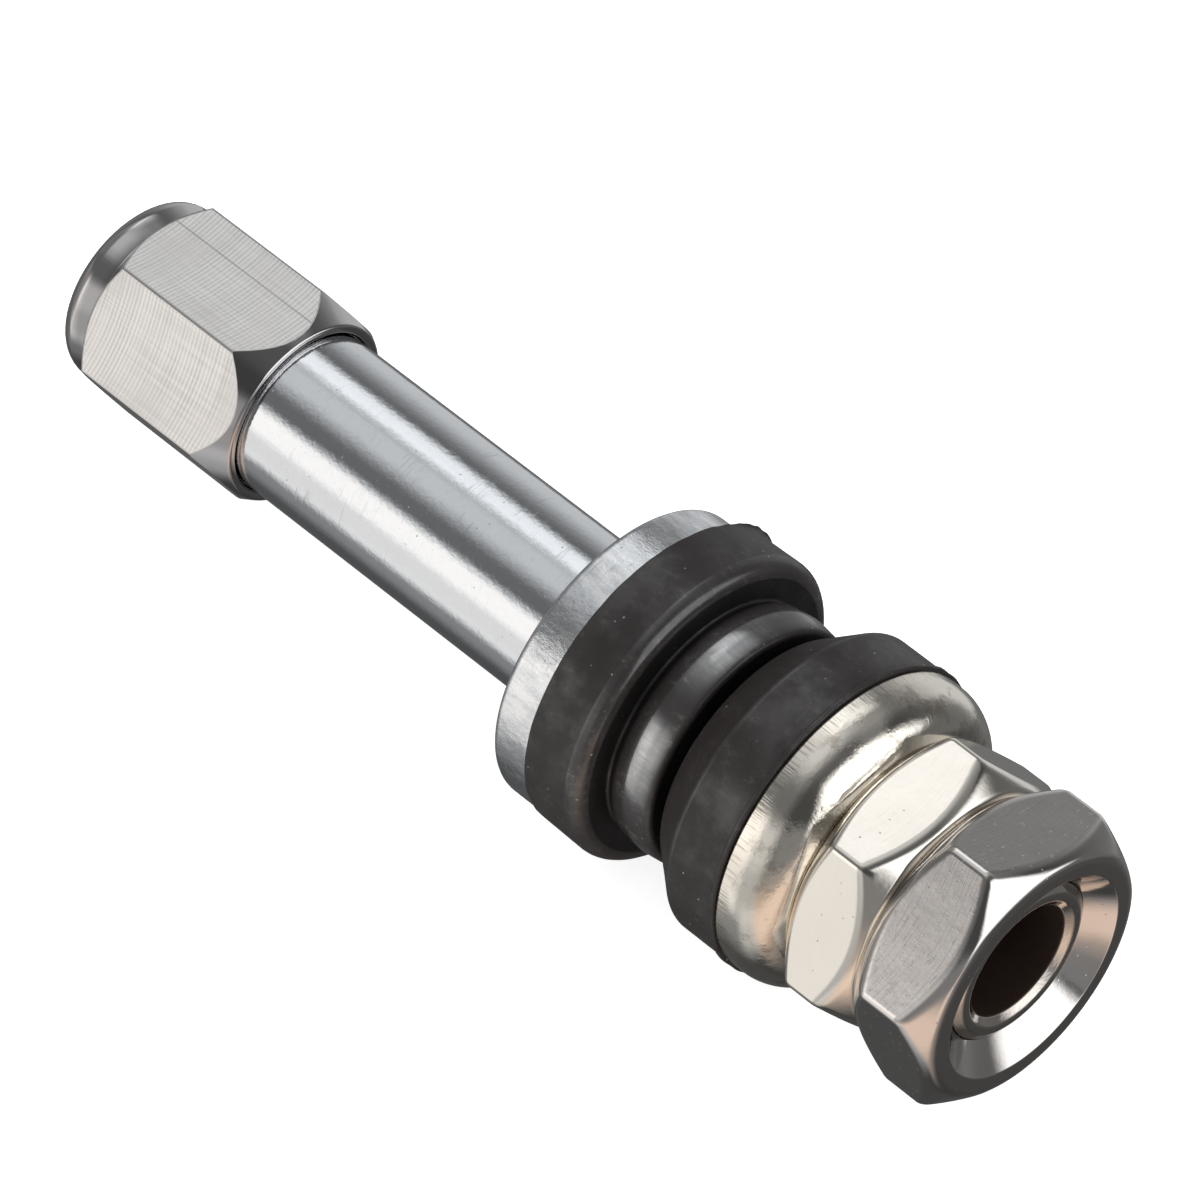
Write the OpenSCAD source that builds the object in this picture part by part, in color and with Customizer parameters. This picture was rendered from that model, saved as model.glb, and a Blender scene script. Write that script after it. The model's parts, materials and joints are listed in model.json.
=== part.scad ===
// Bolt-in tyre valve with a hexagonal dust cap, rubber grommets and locked nuts.
// The valve's axis lies along X: the cap is at -X, the threaded tail at +X.
// The origin is on the axis, where the outer grommet's face meets the wheel rim.

/* [Stem] */
// Diameter of the smooth polished body
body_d = 10.2; // [9:0.1:12]
// Length of the body from the flange to the shoulder under the cap
body_len = 25.6; // [18:0.1:40]
// Step in from the outer grommet's edge to the flange's edge
flange_inset = 0.35; // [0.1:0.05:1]
// Thickness of the flange
flange_t = 2.65; // [1.5:0.05:4]
// Radius on the flange's outer edge
flange_round = 0.4; // [0.1:0.05:0.6]
// Outside diameter of the valve thread under the cap
tip_d = 7.7; // [7.5:0.05:8]
// Length of the valve thread under the cap
tip_len = 10; // [8:0.1:12]
// Outside diameter of the tail thread
tail_d = 10; // [9:0.1:11]
// Length of the tail from the flange's back to its end
tail_len = 28; // [27:0.1:40]
// Chamfer on the ends of both threads
thread_chamfer = 0.35; // [0.1:0.05:0.6]
// Diameter of the wide air bore in the tail
bore_d = 7.06; // [5:0.02:7.4]
// Depth of the wide air bore, up to the drill's point
bore_depth = 24; // [15:0.5:26]
// Diameter of the narrow air passage
passage_d = 3.2; // [2:0.1:3.6]

/* [Dust cap] */
// Width of the cap across its flats
cap_af = 11.8; // [11.6:0.05:14]
// Thickness of the cap's crown above its seal
cap_crown = 2.5; // [2:0.05:5]
// Length of body that the cap's mouth covers
cap_overlap = 0.95; // [0.5:0.05:1.5]
// Diameter of the rim at the cap's mouth
cap_mouth_d = 11.45; // [11:0.05:11.6]
// Length of the tapered edge at the mouth
cap_mouth_taper = 2.15; // [1:0.05:3]
// Diameter of the round top
cap_top_d = 11.6; // [10:0.05:11.6]
// Height of the round top above the hexagon
cap_top_h = 2.2; // [1.8:0.05:4]
// Radius on the edge of the top
cap_top_round = 2; // [0.5:0.05:2.2]
// Thickness of the rubber seal in the cap
cap_seal_t = 0.8; // [0.5:0.05:1.5]
// Depth of the cap's recess past the stem's shoulder
cap_recess = 0.3; // [0.2:0.05:0.6]

/* [Grommets] */
// Diameter of both grommets
grommet_d = 19.35; // [18:0.05:24]
// Thickness of the outer grommet's flange
outer_t = 4.1; // [3:0.05:6]
// Radius on the outer grommet's edge beside the rim
outer_round = 0.9; // [0.2:0.05:1.5]
// Diameter of the neck that fills a large valve hole
neck_d = 15.7; // [14:0.05:16]
// Length of that neck
neck_len = 3.2; // [1.5:0.05:3.6]
// Radius on the neck's free edge
neck_round = 0.5; // [0.2:0.05:1.4]
// Diameter of the step that fills a small valve hole
step_d = 11.6; // [11:0.05:13]
// Gap for the wheel rim between the two grommets
rim_gap = 4.2; // [3.2:0.05:8]
// Length of the inner grommet
inner_len = 6.1; // [4.5:0.05:8]
// Diameter of the inner grommet's nose
nose_d = 15.2; // [14:0.05:17]
// Length of the inner grommet's taper
nose_len = 2.55; // [1:0.05:3]
// Height of the thin lip round the inner grommet's back edge
lip_proud = 0.28; // [0.1:0.02:0.6]
// Thickness of that lip
lip_t = 0.3; // [0.2:0.05:0.6]

/* [Washer and nuts] */
// Step in from the inner grommet's edge to the washer's edge
washer_inset = 0.08; // [0.02:0.02:0.4]
// Height of the domed washer
washer_h = 3.6; // [3:0.05:5]
// Thickness of the washer's sheet
washer_t = 1.1; // [0.8:0.05:1.6]
// Straight height of the washer's rim
washer_rim = 0.9; // [0.3:0.05:1.5]
// Width of the washer's rounded shoulder
washer_shoulder = 2.2; // [1.5:0.05:2.8]
// Width of the hex nut across its flats
nut_af = 15.9; // [15.2:0.05:19]
// Thickness of the hex nut
nut_t = 5.1; // [4:0.05:7]
// Width of the lock nut across its flats
lock_af = 16.05; // [15.2:0.05:19]
// Thickness of the lock nut
lock_t = 5.9; // [4.5:0.05:8]
// Diameter of the flat ring on each nut's face
nut_face_d = 15.1; // [14:0.05:15.2]
// Length of the tapered edge on each nut's corners
nut_taper = 1.55; // [0.8:0.05:2]
// Diameter of the lock nut's countersink at its mouth
sink_d = 12.9; // [11.5:0.05:14]
// Turn of the hex nut about the axis
nut_angle = 10.2; // [0:0.1:60]
// Turn of the lock nut about the axis
lock_angle = -15.1; // [-60:0.1:60]

/* [Valve core] */
// Diameter of the core's plug
plug_d = 5.2; // [5:0.05:5.4]
// Length of the core's plug
plug_len = 4.2; // [3:0.1:5]
// Depth of the plug below the stem's tip
plug_recess = 0.4; // [0.2:0.05:1]
// Thickness of the plug's key, which the valve tool grips
plug_key = 3; // [2.6:0.1:3.6]
// Length of that key
plug_key_len = 1.4; // [0.8:0.1:2]
// Diameter of the core's barrel
barrel_d = 3.6; // [3.4:0.05:3.8]
// Distance from the plug to the barrel's seal
seal_drop = 0.8; // [0.5:0.1:1.2]
// Length of the core's barrel
barrel_len = 8; // [6:0.1:10]
// Thickness of the barrel's wall
barrel_wall = 0.5; // [0.4:0.05:0.6]
// Diameter of the chamber that holds the core
chamber_d = 4.4; // [4.2:0.05:4.6]
// Length of the tapered seat in the stem
seat_len = 1; // [0.6:0.1:1.6]
// Free length of the chamber past the pressed pin
chamber_spare = 2; // [1:0.1:3]
// Diameter of the core's pin
pin_d = 1.1; // [0.9:0.05:1.3]
// Depth of the pin's end below the stem's tip
pin_recess = 0.1; // [0:0.05:0.3]
// Distance from the plug to the pin's collar
collar_drop = 0.5; // [0.3:0.05:0.8]
// Diameter of the collar that the spring pushes
collar_d = 2.1; // [1.8:0.05:2.3]
// Thickness of the collar
collar_t = 0.5; // [0.3:0.05:0.8]
// Length of the core's cup
cup_len = 1.6; // [1.2:0.1:2.4]
// Thickness of the cup's seal
cup_seal_t = 0.5; // [0.3:0.05:0.8]
// Wire of the core's spring
spring_wire = 0.3; // [0.2:0.02:0.36]
// Turns of the core's spring
spring_turns = 7; // [4:1:9]
// Travel of the core's pin when it is pressed
pin_travel = 1.5; // [1:0.1:2]

/* [Fits] */
// Radial clearance of threads and sliding pieces
fit = 0.05; // [0.02:0.01:0.1]
// Radial room for air round the pin in the plug
plug_air = 0.6; // [0.4:0.05:0.8]
// Radial room for air round the pin in the barrel's end
barrel_air = 0.2; // [0.1:0.05:0.3]
// Radial clearance of the cap's mouth round the body
mouth_gap = 0.16; // [0.1:0.01:0.25]

/* [Hidden] */
$fn = 96;
corner = 2 / sqrt(3);
// Length by which a cut passes the face that it opens
cut = 1;
// Width by which an envelope passes the corners that it trims
margin = 0.5;
// Slope of the cone that the drill leaves at the end of the bore
drill_slope = 0.6;
flange_d = grommet_d - 2 * flange_inset;
lip_d = grommet_d + 2 * lip_proud;
washer_d = grommet_d - 2 * washer_inset;
washer_face_d = washer_d - 2 * washer_shoulder;
// Places along the axis, from the cap to the tail
seat_x = 0;
flange_back_x = seat_x - outer_t;
flange_x = flange_back_x - flange_t;
shoulder_x = flange_x - body_len;
tip_x = shoulder_x - tip_len;
mouth_x = shoulder_x + cap_overlap;
ceiling_x = tip_x - cap_seal_t;
cap_top_x = ceiling_x - cap_crown;
inner_x = seat_x + rim_gap;
washer_x = inner_x + inner_len;
nut_x = washer_x + washer_h;
lock_x = nut_x + nut_t;
lock_end_x = lock_x + lock_t;
tail_x = flange_back_x + tail_len;
bore_x = tail_x - bore_depth;
point_len = drill_slope * (bore_d - passage_d) / 2;
// Places of the core's pieces
plug_x = tip_x + plug_recess;
barrel_x = plug_x + plug_len;
thread_end_x = barrel_x + seal_drop;
chamber_x = thread_end_x + seat_len;
barrel_end_x = barrel_x + barrel_len;
cup_x = barrel_end_x + cup_seal_t;
cup_end_x = cup_x + cup_len;
chamber_end_x = cup_end_x + pin_travel + chamber_spare;
collar_x = barrel_x + collar_drop;
spring_x = collar_x + collar_t;
spring_end_x = barrel_end_x - barrel_wall;
core_thread_d = plug_d + 2 * fit;
pin_hole_d = pin_d + 2 * barrel_air;
plug_hole_d = pin_d + 2 * plug_air;
spring_d = barrel_d - 2 * barrel_wall - 2 * fit;
chrome = "gainsboro";
nickel = "silver";
rubber = [0.09, 0.09, 0.09];
brass = "goldenrod";

// A solid of revolution about X, from an outline of [radius, x] points
module turned(outline) {
    rotate([0, 90, 0]) rotate_extrude() polygon(outline);
}

// A solid of revolution about X, from the drawing of its half section
module spun() {
    rotate([0, 90, 0]) rotate_extrude() children();
}

// A rod along X, from one place to another
module rod(d, from, to) {
    translate([from, 0, 0]) rotate([0, 90, 0]) cylinder(d = d, h = to - from);
}

// A hexagonal bar along X, with a flat facing down when its angle is 0
module hex_bar(af, from, to, angle = 0) {
    translate([from, 0, 0]) rotate([angle, 0, 0]) rotate([0, 90, 0]) rotate([0, 0, 30])
        cylinder(d = af * corner, h = to - from, $fn = 6);
}

// Half section of a disc of radius r from x = a to x = b, with its edge at b rounded
module rounded_disc(r, a, b, round) {
    translate([0, a]) square([r - round, b - a]);
    translate([0, a]) square([r, b - a - round]);
    translate([r - round, b - round]) circle(r = round, $fn = 48);
}

module valve_stem() color(chrome) {
    tip_r = tip_d / 2;
    tail_r = tail_d / 2;
    difference() {
        union() {
            turned([[0, tip_x], [tip_r - thread_chamfer, tip_x], [tip_r, tip_x + thread_chamfer],
                    [tip_r, shoulder_x], [0, shoulder_x]]);
            rod(body_d, shoulder_x, flange_x + flange_t / 2);
            mirror([1, 0, 0]) spun()
                rounded_disc(flange_d / 2, -flange_back_x, -flange_x, flange_round);
            turned([[0, flange_back_x - flange_t / 2], [tail_r, flange_back_x - flange_t / 2],
                    [tail_r, tail_x - thread_chamfer], [tail_r - thread_chamfer, tail_x], [0, tail_x]]);
        }
        // Thread, tapered seat and chamber of the core, then the air passage
        turned([[0, tip_x - cut], [core_thread_d / 2, tip_x - cut], [core_thread_d / 2, thread_end_x],
                [chamber_d / 2, chamber_x], [chamber_d / 2, chamber_end_x],
                [passage_d / 2, chamber_end_x + drill_slope * (chamber_d - passage_d) / 2],
                [passage_d / 2, bore_x - point_len], [bore_d / 2, bore_x], [bore_d / 2, tail_x + cut],
                [0, tail_x + cut]]);
    }
}

module dust_cap() color(chrome) {
    mouth_r = cap_mouth_d / 2;
    top_r = cap_top_d / 2;
    hex_top_x = cap_top_x + cap_top_h;
    // The envelope is a little wider than the hexagon's corners
    wide = cap_af * corner / 2 + margin;
    slope = cap_mouth_taper / (cap_af * corner / 2 - mouth_r);
    difference() {
        intersection() {
            hex_bar(cap_af, cap_top_x, mouth_x);
            mirror([1, 0, 0]) spun() union() {
                // The mouth's taper, the hexagon's shoulder and the round top
                polygon([[0, -mouth_x], [mouth_r, -mouth_x], [wide, -mouth_x + slope * (wide - mouth_r)],
                         [wide, -hex_top_x - wide + top_r], [top_r, -hex_top_x], [0, -hex_top_x]]);
                rounded_disc(top_r, -hex_top_x - margin, -cap_top_x, cap_top_round);
            }
        }
        rod(tip_d + 2 * fit, ceiling_x, mouth_x);
        rod(body_d + 2 * mouth_gap, shoulder_x - cap_recess, mouth_x + cut);
    }
}

module cap_seal() color(rubber)
    rod(tip_d, ceiling_x, tip_x);

module outer_grommet() color(rubber) difference() {
    spun() {
        rounded_disc(grommet_d / 2, flange_back_x, seat_x, outer_round);
        rounded_disc(neck_d / 2, seat_x - margin, seat_x + neck_len, neck_round);
        translate([0, seat_x]) square([step_d / 2, rim_gap]);
    }
    rod(tail_d + 2 * fit, flange_back_x - cut, inner_x + cut);
}

module inner_grommet() color(rubber) difference() {
    r = grommet_d / 2;
    turned([[0, inner_x], [nose_d / 2, inner_x], [r, inner_x + nose_len], [r, washer_x - lip_t],
            [lip_d / 2, washer_x - lip_t], [lip_d / 2, washer_x], [0, washer_x]]);
    rod(tail_d + 2 * fit, inner_x - cut, washer_x + cut);
}

// Half section of the dome: a straight rim, a rounded shoulder and a flat face
module dome(r, face_r, a, b, rim) {
    rise = b - a - rim;
    translate([0, a]) square([r, rim]);
    translate([0, a]) square([face_r, b - a]);
    intersection() {
        translate([0, a + rim]) square([r, rise]);
        // Arc through the rim's edge, upright there, and through the face's edge
        big = ((r - face_r) * (r - face_r) + rise * rise) / (2 * (r - face_r));
        translate([r - big, a + rim]) circle(r = big);
    }
}

module cup_washer() color(nickel) difference() {
    spun() dome(washer_d / 2, washer_face_d / 2, washer_x, nut_x, washer_rim);
    spun()
        dome(washer_d / 2 - washer_t, washer_face_d / 2 - washer_t, washer_x - cut, nut_x - washer_t, cut);
    rod(tail_d + 2 * fit, washer_x - cut, nut_x + cut);
}

// Envelope that tapers the corners of a nut on both sides, a little wider than the corners
module nut_envelope(af, from, to) {
    face = nut_face_d / 2;
    slope = nut_taper / (af * corner / 2 - face);
    r = af * corner / 2 + margin;
    run = slope * (r - face);
    turned([[0, from], [face, from], [r, from + run], [r, to - run], [face, to], [0, to]]);
}

module hex_nut() color(nickel) difference() {
    intersection() {
        hex_bar(nut_af, nut_x, lock_x, nut_angle);
        nut_envelope(nut_af, nut_x, lock_x);
    }
    rod(tail_d + 2 * fit, nut_x - cut, lock_x + cut);
}

module lock_nut() color(nickel) difference() {
    bore_r = tail_d / 2 + fit;
    intersection() {
        hex_bar(lock_af, lock_x, lock_end_x, lock_angle);
        nut_envelope(lock_af, lock_x, lock_end_x);
    }
    sink_depth = sink_d / 2 - bore_r;
    rod(2 * bore_r, lock_x - cut, lock_end_x + cut);
    turned([[0, lock_end_x - sink_depth], [bore_r, lock_end_x - sink_depth],
            [sink_d / 2, lock_end_x], [0, lock_end_x]]);
}

module core_plug() color(brass) difference() {
    rod(plug_d, plug_x, barrel_x);
    // Two flats leave the key, and the pin passes through the middle
    for (side = [0, 180])
        rotate([side, 0, 0]) translate([plug_x - cut, -plug_d, plug_key / 2])
            cube([plug_key_len + cut, 2 * plug_d, plug_d]);
    rod(plug_hole_d, plug_x - cut, barrel_x + cut);
}

module core_barrel() color(brass) difference() {
    rod(barrel_d, barrel_x, barrel_end_x);
    rod(barrel_d - 2 * barrel_wall, barrel_x - cut, spring_end_x);
    rod(pin_hole_d, barrel_x, barrel_end_x + cut);
}

module core_barrel_seal() color("darkred") difference() {
    turned([[0, thread_end_x], [core_thread_d / 2 - fit, thread_end_x], [chamber_d / 2 - fit, chamber_x],
            [0, chamber_x]]);
    rod(barrel_d, thread_end_x - cut, chamber_x + cut);
}

module core_pin() color(brass) {
    rod(pin_d, tip_x + pin_recess, cup_end_x);
    rod(collar_d, collar_x, spring_x);
}

// A coil of round wire, swept as rings of points along a helix about X
module coil(d, wire, from, to, turns) {
    sides = 8;
    steps = 16;
    last = turns * steps;
    r = (d - wire) / 2;
    run = to - from - wire;
    points = [for (i = [0:last]) for (j = [0:sides - 1])
        let (a = 360 * i / steps, b = 360 * j / sides, q = r + wire / 2 * cos(b))
        [from + wire / 2 + run * i / last + wire / 2 * sin(b), q * cos(a), q * sin(a)]];
    walls = [for (i = [0:last - 1]) for (j = [0:sides - 1])
        let (k = (j + 1) % sides)
        [i * sides + j, i * sides + k, (i + 1) * sides + k, (i + 1) * sides + j]];
    polyhedron(points, concat(walls, [[for (j = [sides - 1:-1:0]) j]],
                              [[for (j = [0:sides - 1]) last * sides + j]]));
}

module core_spring() color("silver")
    coil(spring_d, spring_wire, spring_x, spring_end_x, spring_turns);

module core_cup() color(brass) difference() {
    rod(barrel_d, barrel_end_x + fit, cup_end_x);
    rod(barrel_d - 2 * barrel_wall, barrel_end_x - cut, cup_x);
    rod(pin_d, cup_x - cut, cup_end_x + cut);
}

module core_cup_seal() color(rubber) difference() {
    rod(barrel_d - 2 * barrel_wall, barrel_end_x, cup_x);
    rod(pin_d, barrel_end_x - cut, cup_x + cut);
}

valve_stem();
dust_cap();
cap_seal();
outer_grommet();
inner_grommet();
cup_washer();
hex_nut();
lock_nut();
core_plug();
core_barrel();
core_barrel_seal();
core_pin();
core_spring();
core_cup();
core_cup_seal();
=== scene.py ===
# Looks of the bolt-in tyre valve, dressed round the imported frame. Sizes are in millimetres.
import json
import math

import bmesh
import bpy
import numpy as np
from mathutils import Matrix, Vector


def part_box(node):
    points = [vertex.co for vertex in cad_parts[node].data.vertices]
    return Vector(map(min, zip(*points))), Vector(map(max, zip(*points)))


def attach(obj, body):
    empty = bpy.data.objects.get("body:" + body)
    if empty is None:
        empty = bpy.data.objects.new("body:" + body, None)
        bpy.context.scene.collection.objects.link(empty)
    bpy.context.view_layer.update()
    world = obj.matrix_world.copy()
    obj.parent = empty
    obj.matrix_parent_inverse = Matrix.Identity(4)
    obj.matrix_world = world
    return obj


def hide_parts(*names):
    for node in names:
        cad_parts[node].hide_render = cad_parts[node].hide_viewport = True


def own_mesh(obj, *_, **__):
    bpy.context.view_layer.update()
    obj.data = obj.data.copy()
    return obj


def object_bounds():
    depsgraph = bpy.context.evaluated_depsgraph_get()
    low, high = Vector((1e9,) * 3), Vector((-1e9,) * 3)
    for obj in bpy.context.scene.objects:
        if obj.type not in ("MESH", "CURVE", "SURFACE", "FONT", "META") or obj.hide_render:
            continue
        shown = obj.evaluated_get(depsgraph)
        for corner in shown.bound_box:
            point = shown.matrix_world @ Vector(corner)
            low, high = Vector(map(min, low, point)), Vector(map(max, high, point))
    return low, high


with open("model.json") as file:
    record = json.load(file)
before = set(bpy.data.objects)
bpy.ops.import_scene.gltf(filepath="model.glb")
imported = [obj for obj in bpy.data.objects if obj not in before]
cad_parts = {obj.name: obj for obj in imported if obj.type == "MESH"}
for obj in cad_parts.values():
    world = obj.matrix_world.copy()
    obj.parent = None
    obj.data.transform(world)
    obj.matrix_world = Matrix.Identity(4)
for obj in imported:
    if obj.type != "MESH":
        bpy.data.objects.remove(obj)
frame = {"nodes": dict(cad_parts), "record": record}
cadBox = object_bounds()
mm = 0.001  # Blender works in metres
fit = 0.05  # radial clearance of the threads in the solids


def ends(node):
    # where a node starts and ends along the axis
    low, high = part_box(node)
    return low[0] / mm, high[0] / mm


def radiusOf(node):
    # half of a node's height
    low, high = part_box(node)
    return (high[2] - low[2]) / 2 / mm


stemStart, stemEnd = ends("valve_stem")
capStart, capEnd = ends("dust_cap")
sealStart, sealEnd = ends("cap_seal")
outerStart, outerEnd = ends("outer_grommet")
innerStart, innerEnd = ends("inner_grommet")
washerStart, washerEnd = ends("cup_washer")
lockStart = ends("lock_nut")[0]
seatStart, seatEnd = ends("core_barrel_seal")
springStart, springEnd = ends("core_spring")
flangeR = radiusOf("valve_stem")
outerR = radiusOf("outer_grommet")
lipR = radiusOf("inner_grommet")
washerR = radiusOf("cup_washer")
print("frame read: stem from", round(stemStart, 2), "to", round(stemEnd, 2))


# Surfaces

def ease(t):
    # smooth step from 0 to 1
    t = np.clip(t, 0, 1)
    return t * t * (3 - 2 * t)


def ripple(angle, seed, orders, fall=1.0):
    # sum of sines of the angle: order k has a random phase and a height of about 1 / k ** fall
    draw = np.random.default_rng(seed)
    k = np.arange(1, orders + 1)[:, None]
    phase = draw.uniform(0, 2 * np.pi, (orders, 1))
    height = draw.normal(0, 1, (orders, 1)) / k ** fall
    return (height * np.sin(k * angle[None, :] + phase)).sum(0)


nearEnd = 0.06  # how far a run's first and last points stand from its arcs


def outline(corners, arcSteps=5, loop=True):
    # Corners (x, r, rounding, steps) become one smooth line of rows. x and r may be arrays over the angle.
    # A corner is an arc tangent to both its runs, which takes at most 0.45 of the shorter one:
    # arc point t = centre + (sin((1-t)a) first + sin(ta) last) / sin(a).
    # A run has its own number of steps, or no points of its own if that is None.
    # The second result tags a row with its corner's number, or that number and a half on the run after it.
    width = max(max(np.size(c[0]), np.size(c[1])) for c in corners)
    place = [[np.broadcast_to(c[0], width), np.broadcast_to(c[1], width)] for c in corners]
    place = np.array(place, float).transpose(0, 2, 1)
    toLast = np.roll(place, 1, 0) - place
    toNext = np.roll(place, -1, 0) - place
    runIn = np.maximum(np.linalg.norm(toLast, axis=-1, keepdims=True), 1e-9)
    runOut = np.maximum(np.linalg.norm(toNext, axis=-1, keepdims=True), 1e-9)
    toLast, toNext = toLast / runIn, toNext / runOut
    half = np.arccos(np.clip((toLast * toNext).sum(-1, keepdims=True), -1, 1)) / 2
    rounding = np.array([c[2] for c in corners], float)[:, None, None]
    reach = np.minimum(rounding / np.tan(np.maximum(half, 1e-4)), 0.45 * np.minimum(runIn, runOut))
    middle = toLast + toNext
    middle = middle / np.maximum(np.linalg.norm(middle, axis=-1, keepdims=True), 1e-9)
    centre = place + middle * reach / np.maximum(np.cos(half), 1e-4)
    first, last = place + toLast * reach, place + toNext * reach
    turn = np.maximum(np.pi - 2 * half, 1e-4)
    rows, tags = [], []
    for i, corner in enumerate(corners):
        t = np.linspace(0, 1, arcSteps + 1 if corner[2] > 0 else 1)[:, None, None]
        swing = np.sin((1 - t) * turn[i]) * (first[i] - centre[i])
        swing = swing + np.sin(t * turn[i]) * (last[i] - centre[i])
        rows.append(centre[i] + swing / np.sin(turn[i]))
        tags.append(np.full(len(t), float(i)))
        if corner[3] is None or (i == len(corners) - 1 and not loop):
            continue
        run = first[(i + 1) % len(corners)] - last[i]
        length = np.maximum(np.linalg.norm(run, axis=-1), 1e-9)
        inset = np.minimum(nearEnd / length, 0.2)[None, :, None]
        t = np.linspace(0, 1, corner[3] + 2)[:, None, None]
        rows.append(last[i] + run * (inset + (1 - 2 * inset) * t))
        tags.append(np.full(len(t), i + 0.5))
    return np.concatenate(rows), np.concatenate(tags)


def roundRing(turns, radius):
    # even angles about the axis from below, and the girth walked at that radius
    angle = np.linspace(0, 2 * np.pi, turns, endpoint=False) - np.pi / 2
    return angle, (angle - angle[0]) * radius


def hexRing(flats, rounding, turn, flatSteps=12, arcSteps=6):
    # A hexagon with rounded corners: each side is a flat at half the width over flats and an arc at its end.
    # Gives the angle and distance from the axis of every point, the girth walked, and 1 on flats.
    half = flats / 2
    side = (half - rounding) * math.tan(math.pi / 6)
    inset = np.array([0.0, 0.05])  # two points close together hold the flat up to its end
    flat = np.concatenate([-side + inset, np.linspace(-side, side, flatSteps)[1:-1], side - inset[::-1]])
    arc = np.radians(np.linspace(0, 60, arcSteps + 1))[1:-1]
    out = np.concatenate([np.full(len(flat), half), half - rounding + rounding * np.cos(arc)])
    along = np.concatenate([flat, side + rounding * np.sin(arc)])
    face = np.radians(turn - 90 + 60 * np.arange(6))[:, None]
    y = (out * np.cos(face) - along * np.sin(face)).ravel()
    z = (out * np.sin(face) + along * np.cos(face)).ravel()
    step = np.hypot(np.diff(y), np.diff(z))
    onFlat = np.tile(np.concatenate([np.ones(len(flat)), np.zeros(len(arc))]), 6)
    return np.unwrap(np.arctan2(z, y)), np.hypot(y, z), np.append(0, np.cumsum(step)), onFlat


def softMin(a, b, blend):
    # the smaller of two radii, less a rounding where they come within blend of each other
    close = np.clip(1 - np.abs(a - b) / blend, 0, 1)
    return np.minimum(a, b) - close * close * blend / 4


def thread(x, angle, start, end, pitch, depth, fade):
    # depth of a right-handed groove: a clipped cosine of x / pitch less the turns made, fading at both ends
    turns = x / pitch - angle / (2 * np.pi)
    groove = np.clip(0.5 - 0.62 * np.cos(2 * np.pi * turns), 0, 1)
    return depth * groove * ease((x - start) / fade) * ease((end - x) / fade)


def latheMesh(name, x, r, angle, girth, masks=None, offCentre=(0, 0), boreR=0):
    # Point (i, j) stands at x and r of row i, turned by angle[j] about the axis. A row closes into a ring.
    # The last row joins the first, or both lie on the axis, where a row merges into one point.
    # Off-centre pieces shift by (y, z) away from their bore.
    x, r = np.broadcast_arrays(x, r + 0 * angle)
    poles = r[0].max() < 1e-6
    shift = ease((r - boreR) / 2)
    y = r * np.cos(angle) + offCentre[0] * shift
    z = r * np.sin(angle) + offCentre[1] * shift
    points = np.stack([x, y, z], -1) * mm
    index = np.arange(r.size).reshape(r.shape)
    low, high = (index[:-1], index[1:]) if poles else (index, np.roll(index, -1, 0))
    quads = np.stack([low, high, np.roll(high, -1, 1), np.roll(low, -1, 1)], -1).reshape(-1, 4)
    walk = np.hypot(np.diff(x, axis=0, append=x[:1]), np.diff(r, axis=0, append=r[:1]))
    walk = np.concatenate([0 * walk[:1], np.cumsum(walk, 0)])[: len(low) + 1]
    walk = np.concatenate([walk, walk[:, :1]], 1)
    around = np.broadcast_to(np.append(girth, 2 * girth[-1] - girth[-2]), walk.shape)
    chart = np.stack([around, walk], -1)
    uv = np.stack([chart[:-1, :-1], chart[1:, :-1], chart[1:, 1:], chart[:-1, 1:]], 2).reshape(-1, 4, 2)
    a, b, c, d = points.reshape(-1, 3)[quads].transpose(1, 0, 2)
    if (np.cross(a, b) * c + np.cross(a, c) * d).sum() < 0:  # six times the volume inside
        quads, uv = quads[:, ::-1], uv[:, ::-1]
    mesh = bpy.data.meshes.new(name)
    mesh.vertices.add(r.size)
    mesh.vertices.foreach_set("co", points.ravel())
    mesh.loops.add(quads.size)
    mesh.loops.foreach_set("vertex_index", quads.ravel())
    mesh.polygons.add(len(quads))
    mesh.polygons.foreach_set("loop_start", np.arange(len(quads)) * 4)
    mesh.polygons.foreach_set("use_smooth", np.ones(len(quads), bool))
    mesh.uv_layers.new(name="chart").data.foreach_set("uv", uv.ravel())
    for mask, values in (masks or {}).items():
        layer = mesh.attributes.new(mask, "FLOAT", "POINT")
        layer.data.foreach_set("value", np.broadcast_to(values, r.shape).ravel())
    mesh.update(calc_edges=True)
    if poles:
        shell = bmesh.new()
        shell.from_mesh(mesh)
        bmesh.ops.remove_doubles(shell, verts=shell.verts, dist=1e-7)
        shell.to_mesh(mesh)
        shell.free()
    piece = bpy.data.objects.new(name, mesh)
    bpy.context.scene.collection.objects.link(piece)
    return piece


def dress(piece, node, body, slot):
    # the piece stands for its node, moves with its body and wears its slot's finish
    piece.data.materials.append(finishes[slot])
    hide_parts(node)
    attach(piece, body)
    print("made", piece.name, len(piece.data.polygons), "faces")


# Shader maths

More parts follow.
